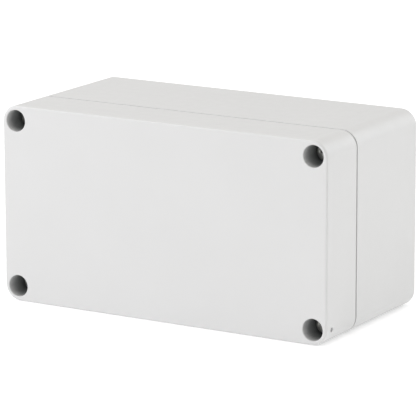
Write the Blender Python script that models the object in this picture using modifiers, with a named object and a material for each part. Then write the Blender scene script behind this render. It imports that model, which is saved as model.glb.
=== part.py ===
"""Wall-mounted electrical junction box with a screwed lid and a row of rail terminals.

Everything is modelled in the wall frame: x to the right, y up, and z away from the wall, with the
origin at the centre of the back face. One empty, wall_frame, then turns that frame so that z points
along the world's -Y, and the box stands on its long lower side.
"""

import math

import bmesh
import bpy
from mathutils import Matrix, Vector

MM = 0.001

# Enclosure, in millimetres
WIDTH = 120.0
HEIGHT = 65.0
DEPTH = 60.0
LID_DEPTH = 19.2
SEAM = 0.7
WALL = 3.5
FLOOR = 3.5
LID_FACE = 3.0
CORNER_RADIUS = 5.5
FRONT_FILLET = 0.7
BACK_FILLET = 1.2
SEAM_CHAMFER = 0.15

# Working allowances: gaps between pieces, cutters past a face, and overlaps of joined shapes
FIT_GAP = 0.1
TOUCH_GAP = 0.3
OVERCUT = 2.0
OVERLAP = 1.0

# Rims: they meet inside, and a rebate round the base's outer edge leaves the seam open
LID_RIM = DEPTH - LID_DEPTH + SEAM / 2
REBATE_FLOOR = LID_RIM - SEAM
REBATE_WIDTH = 1.2
BASE_RIM = LID_RIM - FIT_GAP

# Lid screws and what holds them
SCREW_X = 55.0
SCREW_Y = 27.5
WELL_RADIUS = 3.55
WELL_CHAMFER = 0.3
HEAD_DEPTH = 7.5
HEAD_RADIUS = 3.0
HEAD_HEIGHT = 2.6
HEAD_EDGE = 0.5
CROSS_REACH = 2.0
CROSS_WIDTH = 0.9
CROSS_DEPTH = 1.5
WASHER_RADIUS = 3.35
WASHER_THICKNESS = 0.8
SHANK_RADIUS = 2.0
SHANK_CLEARANCE = 0.3
SCREW_TIP = 33.2
SCREW_TIP_CHAMFER = 0.8
INSERT_RADIUS = 2.8
INSERT_BORE = 2.15
INSERT_LENGTH = 8.0
INSERT_WAIST_DEPTH = 0.35
INSERT_RECESS = 0.2
INSERT_SEAT_ROOM = 0.8

# Wall screws: four channels in the base's corner columns
WALL_SCREW_X = 46.0
WALL_SCREW_Y = 27.0
CHANNEL_RADIUS = 3.6
WALL_HOLE_RADIUS = 2.25
CHANNEL_FLOOR = 5.0

# Inside outline: a rounded rectangle notched by the corner columns
INSIDE_X = WIDTH / 2 - WALL
INSIDE_Y = HEIGHT / 2 - WALL
NOTCH_X = 38.0
NOTCH_Y = 20.5
INSIDE_RADIUS = 2.5
NOTCH_RADIUS = 2.0
NOTCH_DRAFT = 0.2

# Seal between the rims, as distances outwards from the inside outline
GROOVE = (0.8, 2.4)
GROOVE_DEPTH = 2.8
GASKET_THICKNESS = 1.3
GASKET_BACK = LID_RIM + GROOVE_DEPTH - FIT_GAP - GASKET_THICKNESS
TONGUE = (1.15, 2.05)
TONGUE_TOP = GASKET_BACK - FIT_GAP

# Wire for a lead seal goes in here, through the lid's side into a screw well
SEAL_HOLE_RADIUS = 0.8
SEAL_HOLE_FROM_FRONT = 3.4

# Rail, 15 mm wide and 5.5 mm high
RAIL_LENGTH = 104.0
RAIL_WIDTH = 15.0
RAIL_CHANNEL = 10.5
RAIL_HEIGHT = 5.5
RAIL_THICKNESS = 1.0
RAIL_BACK = 7.3
RAIL_FRONT = RAIL_BACK + RAIL_HEIGHT
RAIL_SCREW_X = 42.0
SLOT_SPACING = 14.0
SLOT_LENGTH = 9.0
SLOT_WIDTH = 4.4
BOSS_RADIUS = 4.2
RAIL_SCREW_HEAD = 3.2
RAIL_SCREW_HEAD_HEIGHT = 2.0
RAIL_SCREW_SHANK = 1.6
RAIL_SCREW_POINT = 1.4
RAIL_CROSS_REACH = 1.7
RAIL_CROSS_WIDTH = 0.8
RAIL_CROSS_DEPTH = 1.1
PILOT_RADIUS = 1.75
PILOT_FLOOR = 1.8
STANDOFF_X = 30.0
STANDOFF_Y = 20.0
STANDOFF_RADIUS = 3.0
STANDOFF_TOP = 9.0
STANDOFF_HOLE = 1.25

# Rail terminals
TERMINAL_PITCH = 6.2
TERMINAL_WIDTH = 5.9
TERMINAL_WALL = 0.9
TERMINAL_HALF = 14.0
TERMINAL_FOOT = RAIL_FRONT + TOUCH_GAP
TERMINAL_SHOULDER = 35.0
RIDGE_HEIGHT = 1.2
CLAW = 1.6
CLAMP_Y = 8.5
BAR_BACK = 24.1
BAR_THICKNESS = 1.0
BAR_FRONT = BAR_BACK + BAR_THICKNESS
BAR_WIDTH = 2.4
BAR_HALF = 11.0
BAR_HOLE_RADIUS = 0.7
YOKE_WIDTH = 4.4
YOKE_LENGTH = 5.0
YOKE_HEIGHT = 8.0
YOKE_SIDE = 0.8
YOKE_FLOOR = 1.0
YOKE_ROOF = 1.4
WIRE_ROOM = 3.0
YOKE_BACK = BAR_BACK - WIRE_ROOM - YOKE_FLOOR
CLAMP_SCREW_RADIUS = 1.3
CLAMP_HEAD_RADIUS = 2.0
CLAMP_HEAD_BACK = BAR_FRONT + 6.1
CLAMP_HEAD_HEIGHT = 1.8
CLAMP_SLOT_WIDTH = 0.6
CLAMP_SLOT_DEPTH = 0.9
ACCESS_RADIUS = 1.75
BAR_SLOT_GAP = 0.2
YOKE_ROOM_GAP = 0.4
HEAD_ROOM_GAP = 0.15
FUNNEL_RADIUS = 1.4
FUNNEL_MOUTH = 2.4
FUNNEL_LENGTH = 3.4
PLATE_WIDTH = 1.4
STOP_WIDTH = 5.5
STOP_SHOULDER = 25.0
STOP_HALF = 11.5
EARTH_LEG_HALF = 2.0
EARTH_FOOT_HALF = 7.0
EARTH_FOOT_THICKNESS = 1.2

CORNERS = {
    "top_left": (-1, 1),
    "top_right": (1, 1),
    "bottom_left": (-1, -1),
    "bottom_right": (1, -1),
}
SIDES = {"upper": 1, "lower": -1}
TERMINALS = ("line_1", "line_2", "line_3", "neutral", "earth")

COLOURS = {
    "housing_grey": ((0.80, 0.80, 0.79), 0.45, 0.0),
    "seal_black": ((0.02, 0.02, 0.02), 0.70, 0.0),
    "screw_steel": ((0.55, 0.55, 0.53), 0.30, 1.0),
    "brass": ((0.72, 0.52, 0.22), 0.32, 1.0),
    "rail_zinc": ((0.62, 0.62, 0.58), 0.35, 1.0),
    "terminal_grey": ((0.36, 0.38, 0.38), 0.50, 0.0),
    "terminal_blue": ((0.05, 0.20, 0.55), 0.50, 0.0),
    "terminal_green": ((0.10, 0.42, 0.12), 0.50, 0.0),
    "tinned_copper": ((0.70, 0.66, 0.60), 0.28, 1.0),
    "yoke_steel": ((0.60, 0.58, 0.50), 0.33, 1.0),
}


def clear_scene():
    for item in list(bpy.data.objects):
        bpy.data.objects.remove(item, do_unlink=True)


def collection(name):
    made = bpy.data.collections.new(name)
    bpy.context.scene.collection.children.link(made)
    return made


def material(name):
    made = bpy.data.materials.get(name)
    if made:
        return made
    colour, roughness, metallic = COLOURS[name]
    made = bpy.data.materials.new(name)
    made.use_nodes = True
    shader = made.node_tree.nodes["Principled BSDF"]
    shader.inputs["Base Color"].default_value = (*colour, 1.0)
    shader.inputs["Roughness"].default_value = roughness
    shader.inputs["Metallic"].default_value = metallic
    return made


clear_scene()
PARTS = collection("junction_box")
CUTTERS = collection("junction_box_cutters")

FRAME = bpy.data.objects.new("wall_frame", None)
PARTS.objects.link(FRAME)
FRAME.rotation_euler = (math.pi / 2, 0, 0)


def place(item, at=(0, 0, 0), turn=(0, 0, 0)):
    """Puts an object at a point of the wall frame, given in millimetres."""
    item.parent = FRAME
    item.location = [value * MM for value in at]
    item.rotation_euler = turn
    return item


def as_part(item, finish):
    """A finished sub-part: in the parts collection, with its material, round faces shaded smooth."""
    for home in list(item.users_collection):
        home.objects.unlink(item)
    PARTS.objects.link(item)
    item.hide_render = False
    item.display_type = "TEXTURED"
    item.data.materials.clear()
    item.data.materials.append(material(finish))
    item.data.shade_smooth()
    item.data.set_sharp_from_angle(angle=math.radians(35))
    return item


def helper(name, mesh):
    """An object in the cutters collection, left out of renders."""
    item = bpy.data.objects.new(name, mesh)
    CUTTERS.objects.link(item)
    item.hide_render = True
    item.display_type = "WIRE"
    return item


def apply_modifiers(item):
    """Replaces an object's mesh with the mesh its modifiers make."""
    bpy.context.view_layer.update()
    graph = bpy.context.evaluated_depsgraph_get()
    mesh = bpy.data.meshes.new_from_object(item.evaluated_get(graph))
    item.modifiers.clear()
    item.data = mesh
    return item


def combine(target, other, operation):
    """Cuts or joins another object, and leaves it behind as a hidden helper."""
    step = target.modifiers.new(operation.lower(), "BOOLEAN")
    step.operation = operation
    step.solver = "EXACT"
    step.object = other
    apply_modifiers(target)
    return target


def cut(target, *cutters):
    for cutter in cutters:
        combine(target, cutter, "DIFFERENCE")
    return target


def join(target, *others):
    for other in others:
        combine(target, other, "UNION")
    return target


def box(name, low, high, at=(0, 0, 0)):
    """A box between two corners, measured from the object's own origin."""
    shape = bmesh.new()
    bmesh.ops.create_cube(shape, size=1.0)
    size = [(b - a) * MM for a, b in zip(low, high)]
    centre = [(a + b) / 2 * MM for a, b in zip(low, high)]
    bmesh.ops.scale(shape, vec=size, verts=shape.verts)
    bmesh.ops.translate(shape, vec=centre, verts=shape.verts)
    mesh = bpy.data.meshes.new(name)
    shape.to_mesh(mesh)
    shape.free()
    return place(helper(name, mesh), at)


def rounded_box(name, low, high, corner, front=0.0, back=0.0, corner_steps=5):
    """A box with its four edges along z rounded, and its front or back outline filleted."""
    item = box(name, low, high)
    shape = bmesh.new()
    shape.from_mesh(item.data)
    upright = [e for e in shape.edges if abs(e.verts[0].co.z - e.verts[1].co.z) > MM / 10]
    bmesh.ops.bevel(
        shape, geom=upright, offset=corner * MM, segments=corner_steps, profile=0.5, affect="EDGES"
    )
    for level, radius in ((high[2], front), (low[2], back)):
        if radius:
            flat = [e for e in shape.edges if all(abs(v.co.z - level * MM) < 1e-7 for v in e.verts)]
            steps = 3 if radius > 0.5 else 1
            bmesh.ops.bevel(
                shape, geom=flat, offset=radius * MM, segments=steps, profile=0.5, affect="EDGES"
            )
    shape.to_mesh(item.data)
    shape.free()
    return item


def cylinder(name, radius, low, high, at=(0, 0), sides=16, top_radius=None):
    """A cylinder or cone along z, between two distances from the wall."""
    shape = bmesh.new()
    bmesh.ops.create_cone(
        shape,
        cap_ends=True,
        segments=sides,
        radius1=radius * MM,
        radius2=(radius if top_radius is None else top_radius) * MM,
        depth=(high - low) * MM,
    )
    bmesh.ops.translate(shape, vec=(0, 0, (low + high) / 2 * MM), verts=shape.verts)
    mesh = bpy.data.meshes.new(name)
    shape.to_mesh(mesh)
    shape.free()
    return place(helper(name, mesh), (at[0], at[1], 0))


def turned(name, profile, at=(0, 0), steps=16):
    """A turned shape about z. The profile runs down its outer side, top to bottom."""
    mesh = bpy.data.meshes.new(name)
    points = [(radius * MM, 0, height * MM) for radius, height in profile]
    edges = [(i, i + 1) for i in range(len(points) - 1)]
    mesh.from_pydata(points, edges, [])
    item = place(helper(name, mesh), (at[0], at[1], 0))
    screw = item.modifiers.new("turn", "SCREW")
    screw.steps = steps
    screw.render_steps = steps
    screw.use_merge_vertices = True
    screw.merge_threshold = 1e-6
    return apply_modifiers(item)


def closed_profile(radii_and_heights):
    """A ring's section as a closed loop of points."""
    return [*radii_and_heights, radii_and_heights[0]]


def prism(name, outlines, low, high, along_x=False, at=(0, 0, 0)):
    """A flat outline, with any holes, extruded along z, or along x when the outline is in (y, z)."""
    curve = bpy.data.curves.new(name, "CURVE")
    curve.dimensions = "2D"
    curve.fill_mode = "BOTH"
    curve.extrude = (high - low) / 2 * MM
    for outline in outlines:
        spline = curve.splines.new("POLY")
        spline.points.add(len(outline) - 1)
        for point, (a, b) in zip(spline.points, outline):
            point.co = (a * MM, b * MM, 0, 1)
        spline.use_cyclic_u = True
    drawn = bpy.data.objects.new(name + "_outline", curve)
    CUTTERS.objects.link(drawn)
    bpy.context.view_layer.update()
    graph = bpy.context.evaluated_depsgraph_get()
    mesh = bpy.data.meshes.new_from_object(drawn.evaluated_get(graph))
    bpy.data.objects.remove(drawn, do_unlink=True)
    shape = bmesh.new()
    shape.from_mesh(mesh)
    bmesh.ops.remove_doubles(shape, verts=shape.verts, dist=1e-7)
    bmesh.ops.translate(shape, vec=(0, 0, (low + high) / 2 * MM), verts=shape.verts)
    shape.to_mesh(mesh)
    shape.free()
    turn = (math.pi / 2, 0, math.pi / 2) if along_x else (0, 0, 0)
    return place(helper(name, mesh), at, turn)


def arc(centre, radius, start, end, steps):
    """Points along an arc, with angles in degrees."""
    points = []
    for i in range(steps + 1):
        angle = math.radians(start + (end - start) * i / steps)
        points.append((centre[0] + radius * math.cos(angle), centre[1] + radius * math.sin(angle)))
    return points


def inside_outline(grow=0.0, steps=3):
    """The inside outline, moved outwards by grow: a rounded rectangle with a notch in each corner."""
    outer_x, outer_y = INSIDE_X + grow, INSIDE_Y + grow
    notch_x, notch_y = NOTCH_X + grow, NOTCH_Y + grow
    tip, root = INSIDE_RADIUS + grow, max(NOTCH_RADIUS - grow, 0.05)
    quarter = [
        *arc((outer_x - tip, notch_y - NOTCH_DRAFT - tip), tip, 0, 90, steps),
        *arc((notch_x + root, notch_y + root), root, 270, 180, steps),
        *arc((notch_x - NOTCH_DRAFT - tip, outer_y - tip), tip, 0, 90, steps),
    ]
    half = quarter + [(-x, y) for x, y in reversed(quarter)]
    return half + [(-x, -y) for x, y in half]


def ring(name, band, low, high):
    """A ring that follows the inside outline, between two distances outwards from it."""
    return prism(name, [inside_outline(band[1]), inside_outline(band[0])], low, high)


def slot_outline(length, width, steps=6):
    """A slot with round ends, along x and centred on the origin."""
    reach, radius = (length - width) / 2, width / 2
    right = arc((reach, 0), radius, -90, 90, steps)
    return right + [(-x, -y) for x, y in right]


def at_corner(x, y, corner):
    side, level = CORNERS[corner]
    return (side * x, level * y)


def make_base():
    base = rounded_box(
        "base_shell",
        (-WIDTH / 2, -HEIGHT / 2, 0),
        (WIDTH / 2, HEIGHT / 2, REBATE_FLOOR),
        CORNER_RADIUS,
        front=SEAM_CHAMFER,
        back=BACK_FILLET,
    )
    rim_x, rim_y = WIDTH / 2 - REBATE_WIDTH, HEIGHT / 2 - REBATE_WIDTH
    rim_low, rim_high = (-rim_x, -rim_y, REBATE_FLOOR - OVERLAP), (rim_x, rim_y, BASE_RIM)
    join(base, rounded_box("base_rim", rim_low, rim_high, CORNER_RADIUS - REBATE_WIDTH))
    past = BASE_RIM + OVERCUT
    cut(base, prism("base_cavity", [inside_outline()], FLOOR, past))
    join(base, ring("base_tongue", TONGUE, BASE_RIM - OVERLAP, TONGUE_TOP))
    for x in (-RAIL_SCREW_X, RAIL_SCREW_X):
        join(base, cylinder("rail_boss", BOSS_RADIUS, FLOOR - OVERLAP, RAIL_BACK - TOUCH_GAP, (x, 0)))
        cut(base, cylinder("rail_pilot", PILOT_RADIUS, PILOT_FLOOR, RAIL_BACK + OVERCUT, (x, 0)))
    seat = BASE_RIM - INSERT_RECESS - INSERT_LENGTH - INSERT_SEAT_ROOM
    for corner in CORNERS:
        standoff = at_corner(STANDOFF_X, STANDOFF_Y, corner)
        join(base, cylinder("standoff", STANDOFF_RADIUS, FLOOR - OVERLAP, STANDOFF_TOP, standoff, 12))
        cut(base, cylinder("standoff_hole", STANDOFF_HOLE, FLOOR, STANDOFF_TOP + OVERCUT, standoff, 8))
        wall_screw = at_corner(WALL_SCREW_X, WALL_SCREW_Y, corner)
        cut(base, cylinder("wall_channel", CHANNEL_RADIUS, CHANNEL_FLOOR, past, wall_screw))
        cut(base, cylinder("wall_hole", WALL_HOLE_RADIUS, -OVERCUT, CHANNEL_FLOOR + OVERLAP, wall_screw, 12))
        column = at_corner(SCREW_X, SCREW_Y, corner)
        cut(base, cylinder("insert_seat", INSERT_RADIUS + FIT_GAP, seat, past, column))
    return as_part(base, "housing_grey")


def make_lid():
    lid = rounded_box(
        "lid_cover",
        (-WIDTH / 2, -HEIGHT / 2, LID_RIM),
        (WIDTH / 2, HEIGHT / 2, DEPTH),
        CORNER_RADIUS,
        front=FRONT_FILLET,
        back=SEAM_CHAMFER,
    )
    past = LID_RIM - OVERCUT
    under_face = DEPTH - LID_FACE
    cut(lid, prism("lid_cavity", [inside_outline()], past, under_face))
    cut(lid, ring("gasket_groove", GROOVE, past, LID_RIM + GROOVE_DEPTH))
    seat = DEPTH - HEAD_DEPTH - HEAD_HEIGHT - WASHER_THICKNESS - 2 * FIT_GAP
    for corner in CORNERS:
        column = at_corner(SCREW_X, SCREW_Y, corner)
        cut(lid, cylinder("screw_well", WELL_RADIUS, seat, DEPTH + OVERCUT, column, 24))
        mouth = cylinder(
            "well_mouth",
            WELL_RADIUS,
            DEPTH - WELL_CHAMFER,
            DEPTH + WELL_CHAMFER,
            column,
            24,
            top_radius=WELL_RADIUS + 2 * WELL_CHAMFER,
        )
        cut(lid, mouth)
        cut(lid, cylinder("screw_hole", SHANK_RADIUS + SHANK_CLEARANCE, past, seat + OVERLAP, column))
        core = at_corner(WALL_SCREW_X, WALL_SCREW_Y, corner)
        cut(lid, cylinder("lid_core", CHANNEL_RADIUS, past, under_face, core))
    hole = cylinder("seal_hole", SEAL_HOLE_RADIUS, 0, WIDTH / 2 - SCREW_X + OVERCUT, sides=12)
    place(hole, (SCREW_X, -SCREW_Y, DEPTH - SEAL_HOLE_FROM_FRONT), (0, math.pi / 2, 0))
    cut(lid, hole)
    return as_part(lid, "housing_grey")


def make_gasket():
    band = (GROOVE[0] + FIT_GAP, GROOVE[1] - FIT_GAP)
    return as_part(ring("lid_gasket", band, GASKET_BACK, GASKET_BACK + GASKET_THICKNESS), "seal_black")


def plus_outline(reach, width):
    """A cross recess whose arms are a fifth narrower at their ends."""
    half, end = width / 2, width * 0.4
    points = []
    for quarter in range(4):
        turn = Matrix.Rotation(math.pi / 2 * quarter, 2)
        for corner in ((reach, -end), (reach, end), (half, half)):
            points.append(tuple(turn @ Vector(corner)))
    return points


def make_lid_screw(corner):
    at = at_corner(SCREW_X, SCREW_Y, corner)
    top = DEPTH - HEAD_DEPTH
    under = top - HEAD_HEIGHT
    profile = [
        (0, top),
        (HEAD_RADIUS - HEAD_EDGE, top),
        (HEAD_RADIUS, top - HEAD_EDGE),
        (HEAD_RADIUS, under),
        (SHANK_RADIUS, under),
        (SHANK_RADIUS, SCREW_TIP + SCREW_TIP_CHAMFER),
        (SHANK_RADIUS - SCREW_TIP_CHAMFER, SCREW_TIP),
        (0, SCREW_TIP),
    ]
    screw = turned("lid_screw_" + corner, profile, at)
    cross = plus_outline(CROSS_REACH, CROSS_WIDTH)
    recess = prism("recess", [cross], top - CROSS_DEPTH, top + OVERCUT, at=(*at, 0))
    return as_part(cut(screw, recess), "screw_steel")


def make_lid_washer(corner):
    front = DEPTH - HEAD_DEPTH - HEAD_HEIGHT - FIT_GAP
    back = front - WASHER_THICKNESS
    hole = SHANK_RADIUS + FIT_GAP
    section = [(WASHER_RADIUS, front), (WASHER_RADIUS, back), (hole, back), (hole, front)]
    at = at_corner(SCREW_X, SCREW_Y, corner)
    return as_part(turned("lid_washer_" + corner, closed_profile(section), at), "seal_black")


def make_insert(corner):
    front = BASE_RIM - INSERT_RECESS
    back = front - INSERT_LENGTH
    waist = INSERT_RADIUS - INSERT_WAIST_DEPTH
    middle = (front + back) / 2
    section = [
        (INSERT_RADIUS, front),
        (INSERT_RADIUS, middle + 0.6),
        (waist, middle + 0.3),
        (waist, middle - 0.3),
        (INSERT_RADIUS, middle - 0.6),
        (INSERT_RADIUS, back),
        (INSERT_BORE, back),
        (INSERT_BORE, front),
    ]
    at = at_corner(SCREW_X, SCREW_Y, corner)
    return as_part(turned("thread_insert_" + corner, closed_profile(section), at), "brass")


def make_rail():
    edge, wall = RAIL_WIDTH / 2, RAIL_CHANNEL / 2
    t = RAIL_THICKNESS
    back, front = RAIL_BACK, RAIL_FRONT
    half = [
        (wall, back),
        (wall, front - t),
        (edge, front - t),
        (edge, front),
        (wall - t, front),
        (wall - t, back + t),
    ]
    outline = half + [(-y, z) for y, z in reversed(half)]
    rail = prism("terminal_rail", [outline], -RAIL_LENGTH / 2, RAIL_LENGTH / 2, along_x=True)
    slot = slot_outline(SLOT_LENGTH, SLOT_WIDTH)
    for side in (-1, 1):
        for x in (RAIL_SCREW_X, RAIL_SCREW_X - SLOT_SPACING):
            cut(rail, prism("rail_slot", [slot], back - OVERCUT, back + OVERCUT, at=(side * x, 0, 0)))
    return as_part(rail, "rail_zinc")


def make_rail_screw(name, x):
    under = RAIL_BACK + RAIL_THICKNESS + FIT_GAP
    top = under + RAIL_SCREW_HEAD_HEIGHT
    tip = PILOT_FLOOR + 0.5
    profile = [
        (0, top),
        (RAIL_SCREW_HEAD - 1.1, under + 1.9),
        (RAIL_SCREW_HEAD - 0.2, under + 1.1),
        (RAIL_SCREW_HEAD, under),
        (RAIL_SCREW_SHANK, under),
        (RAIL_SCREW_SHANK, tip + RAIL_SCREW_POINT),
        (0.3, tip),
        (0, tip),
    ]
    screw = turned(name, profile, (x, 0))
    cross = plus_outline(RAIL_CROSS_REACH, RAIL_CROSS_WIDTH)
    recess = prism("recess", [cross], top - RAIL_CROSS_DEPTH, top + OVERCUT, at=(x, 0, 0))
    return as_part(cut(screw, recess), "screw_steel")


def foot_outline(half_length, shoulder):
    """Outline in (y, z) of a piece that clips on the rail, with claws behind the rail's flanges."""
    edge = RAIL_WIDTH / 2 + TOUCH_GAP
    flange = RAIL_FRONT - RAIL_THICKNESS - TOUCH_GAP
    half = [
        (edge, TERMINAL_FOOT),
        (edge, flange),
        (edge - 1.3, flange),
        (edge - 1.0, flange - 1.2),
        (edge + CLAW, flange - 1.2),
        (edge + CLAW, TERMINAL_FOOT + 2.0),
        (half_length, TERMINAL_FOOT + 5.6),
        (half_length, shoulder - 1.8),
        (half_length - 1.4, shoulder),
        (3.6, shoulder),
        (3.0, shoulder + RIDGE_HEIGHT),
    ]
    return half + [(-y, z) for y, z in reversed(half)]


def clamp_cutters(middle, side, inner, outer):
    """Room for one yoke and its screw, a screwdriver's way in at the front, and a wire's at the end."""
    y = side * CLAMP_Y
    room = YOKE_LENGTH / 2 + YOKE_ROOM_GAP
    room_low = (inner, y - room, YOKE_BACK - TOUCH_GAP)
    room_high = (outer, y + room, CLAMP_HEAD_BACK - HEAD_ROOM_GAP)
    head_top = CLAMP_HEAD_BACK + CLAMP_HEAD_HEIGHT + HEAD_ROOM_GAP
    head_radius = CLAMP_HEAD_RADIUS + HEAD_ROOM_GAP
    funnel = cylinder("wire_funnel", FUNNEL_RADIUS, 0, FUNNEL_LENGTH, sides=10, top_radius=FUNNEL_MOUTH)
    funnel_at = (middle, side * (TERMINAL_HALF - FUNNEL_LENGTH + TOUCH_GAP), BAR_BACK - WIRE_ROOM / 2)
    place(funnel, funnel_at, (-side * math.pi / 2, 0, 0))
    return [
        box("yoke_room", room_low, room_high),
        cylinder("head_room", head_radius, CLAMP_HEAD_BACK - OVERLAP, head_top, (middle, y), 12),
        cylinder("access", ACCESS_RADIUS, head_top - OVERLAP, TERMINAL_SHOULDER + OVERCUT, (middle, y), 12),
        funnel,
    ]


def terminal_cutters(x, middle, earth):
    """What hollows a terminal's housing: open on its right side, where the next piece closes it."""
    inner = x - TERMINAL_WIDTH / 2 + TERMINAL_WALL
    outer = x + TERMINAL_WIDTH / 2 + OVERCUT
    bar_wall = inner + (YOKE_WIDTH - BAR_WIDTH) / 2
    back = TERMINAL_FOOT - OVERCUT
    bar_low = (bar_wall, -CLAMP_Y, BAR_BACK - BAR_SLOT_GAP)
    cutters = [box("bar_slot", bar_low, (outer, CLAMP_Y, BAR_FRONT + BAR_SLOT_GAP))]
    for side in SIDES.values():
        cutters += clamp_cutters(middle, side, inner, outer)
    if earth:
        leg = EARTH_LEG_HALF + TOUCH_GAP
        foot = EARTH_FOOT_HALF + TOUCH_GAP
        foot_front = TERMINAL_FOOT + EARTH_FOOT_THICKNESS + BAR_SLOT_GAP
        cutters.append(box("leg_slot", (bar_wall, -leg, back), (outer, leg, BAR_BACK)))
        cutters.append(box("foot_slot", (bar_wall, -foot, back), (outer, foot, foot_front)))
    return cutters


def make_current_bar(name, middle, earth):
    """The strip that joins a terminal's two clamps. The earth terminal's has a leg and a foot on the rail."""
    half, at = BAR_WIDTH / 2, (middle, 0, 0)
    bar = box("current_bar_" + name, (-half, -BAR_HALF, BAR_BACK), (half, BAR_HALF, BAR_FRONT), at)
    if earth:
        foot_front = TERMINAL_FOOT + EARTH_FOOT_THICKNESS
        leg_front = BAR_BACK + BAR_THICKNESS / 2
        leg = box("leg", (-half, -EARTH_LEG_HALF, TERMINAL_FOOT), (half, EARTH_LEG_HALF, leg_front), at)
        foot = box("foot", (-half, -EARTH_FOOT_HALF, TERMINAL_FOOT), (half, EARTH_FOOT_HALF, foot_front), at)
        join(bar, leg, foot)
    else:
        back, front = BAR_BACK - OVERLAP, BAR_FRONT + OVERLAP
        cut(bar, cylinder("bar_hole", BAR_HOLE_RADIUS, back, front, (middle, 0), 8))
    return as_part(bar, "tinned_copper")


def make_terminal(name, x):
    """One rail terminal: housing, current bar, and for each wire a clamp screw and a rising yoke."""
    earth = name == "earth"
    finish = {"neutral": "terminal_blue", "earth": "terminal_green"}.get(name, "terminal_grey")
    middle = x + TERMINAL_WALL / 2
    half = TERMINAL_WIDTH / 2
    outline = foot_outline(TERMINAL_HALF, TERMINAL_SHOULDER)
    housing = prism("terminal_" + name, [outline], -half, half, along_x=True, at=(x, 0, 0))
    as_part(cut(housing, *terminal_cutters(x, middle, earth)), finish)
    make_current_bar(name, middle, earth)
    for level, side in SIDES.items():
        make_yoke(f"clamp_yoke_{name}_{level}", middle, side * CLAMP_Y)
        make_clamp_screw(f"clamp_screw_{name}_{level}", middle, side * CLAMP_Y)


def make_yoke(name, x, y):
    """A rising yoke, at rest at the bottom of its travel, with the wire's room open."""
    half, reach = YOKE_WIDTH / 2, YOKE_LENGTH / 2
    front = YOKE_BACK + YOKE_HEIGHT
    yoke = box(name, (-half, -reach, YOKE_BACK), (half, reach, front), (x, y, 0))
    inside = half - YOKE_SIDE
    low = (-inside, -reach - OVERLAP, YOKE_BACK + YOKE_FLOOR)
    high = (inside, reach + OVERLAP, front - YOKE_ROOF)
    cut(yoke, box("yoke_window", low, high, (x, y, 0)))
    hole = CLAMP_SCREW_RADIUS + FIT_GAP
    cut(yoke, cylinder("yoke_hole", hole, front - YOKE_ROOF - OVERLAP, front + OVERLAP, (x, y), 12))
    return as_part(yoke, "yoke_steel")


def make_clamp_screw(name, x, y):
    top = CLAMP_HEAD_BACK + CLAMP_HEAD_HEIGHT
    tip = BAR_FRONT + FIT_GAP
    profile = [
        (0, top),
        (CLAMP_HEAD_RADIUS - 0.25, top),
        (CLAMP_HEAD_RADIUS, top - 0.25),
        (CLAMP_HEAD_RADIUS, CLAMP_HEAD_BACK),
        (CLAMP_SCREW_RADIUS, CLAMP_HEAD_BACK),
        (CLAMP_SCREW_RADIUS, tip + 0.4),
        (CLAMP_SCREW_RADIUS - 0.4, tip),
        (0, tip),
    ]
    screw = turned(name, profile, (x, y), 12)
    reach, half = CLAMP_HEAD_RADIUS + OVERLAP, CLAMP_SLOT_WIDTH / 2
    slot = box("slot", (-reach, -half, top - CLAMP_SLOT_DEPTH), (reach, half, top + OVERLAP), (x, y, 0))
    return as_part(cut(screw, slot), "screw_steel")


def make_clip_piece(name, low, width, half_length, shoulder):
    """An end plate or an end stop: a plain piece on the rail, from a place along it."""
    outline = foot_outline(half_length, shoulder)
    return as_part(prism(name, [outline], low, low + width, along_x=True), "terminal_grey")


def make_rail_pieces():
    make_rail()
    make_rail_screw("rail_screw_left", -RAIL_SCREW_X)
    make_rail_screw("rail_screw_right", RAIL_SCREW_X)
    row = len(TERMINALS) * TERMINAL_PITCH
    x = -(2 * (STOP_WIDTH + TOUCH_GAP) + row + PLATE_WIDTH) / 2
    make_clip_piece("end_stop_left", x, STOP_WIDTH, STOP_HALF, STOP_SHOULDER)
    x += STOP_WIDTH + TOUCH_GAP
    for name in TERMINALS:
        make_terminal(name, x + TERMINAL_WIDTH / 2)
        x += TERMINAL_PITCH
    make_clip_piece("terminal_end_plate", x, PLATE_WIDTH, TERMINAL_HALF, TERMINAL_SHOULDER)
    x += PLATE_WIDTH + TOUCH_GAP
    make_clip_piece("end_stop_right", x, STOP_WIDTH, STOP_HALF, STOP_SHOULDER)


def main():
    make_base()
    make_lid()
    make_gasket()
    for corner in CORNERS:
        make_lid_screw(corner)
        make_lid_washer(corner)
        make_insert(corner)
    make_rail_pieces()


main()
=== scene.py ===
"""Looks of the wall-mounted junction box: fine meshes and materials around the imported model.

Pieces are modelled in the wall frame, in millimetres: x to the right, y up, and z away from the wall,
with the origin at the centre of the back face. finish_piece() turns each one into the row frame, in metres.
"""

import math

import bmesh
import bpy
from mathutils import Matrix, Quaternion, Vector


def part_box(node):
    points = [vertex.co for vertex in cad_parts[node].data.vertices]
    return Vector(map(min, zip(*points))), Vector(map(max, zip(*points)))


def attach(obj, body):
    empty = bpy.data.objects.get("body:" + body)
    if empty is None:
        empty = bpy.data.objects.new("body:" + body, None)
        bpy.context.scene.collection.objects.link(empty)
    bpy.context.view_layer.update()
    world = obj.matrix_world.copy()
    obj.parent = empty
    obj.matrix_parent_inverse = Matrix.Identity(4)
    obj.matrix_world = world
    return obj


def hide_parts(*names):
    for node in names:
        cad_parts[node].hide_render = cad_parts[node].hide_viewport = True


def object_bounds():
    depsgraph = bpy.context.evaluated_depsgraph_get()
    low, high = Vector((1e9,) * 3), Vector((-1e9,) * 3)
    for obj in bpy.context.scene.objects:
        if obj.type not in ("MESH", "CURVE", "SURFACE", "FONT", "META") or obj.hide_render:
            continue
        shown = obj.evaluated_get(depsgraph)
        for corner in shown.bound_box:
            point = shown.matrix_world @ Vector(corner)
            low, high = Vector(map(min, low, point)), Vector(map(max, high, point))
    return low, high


MM = 0.001
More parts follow.
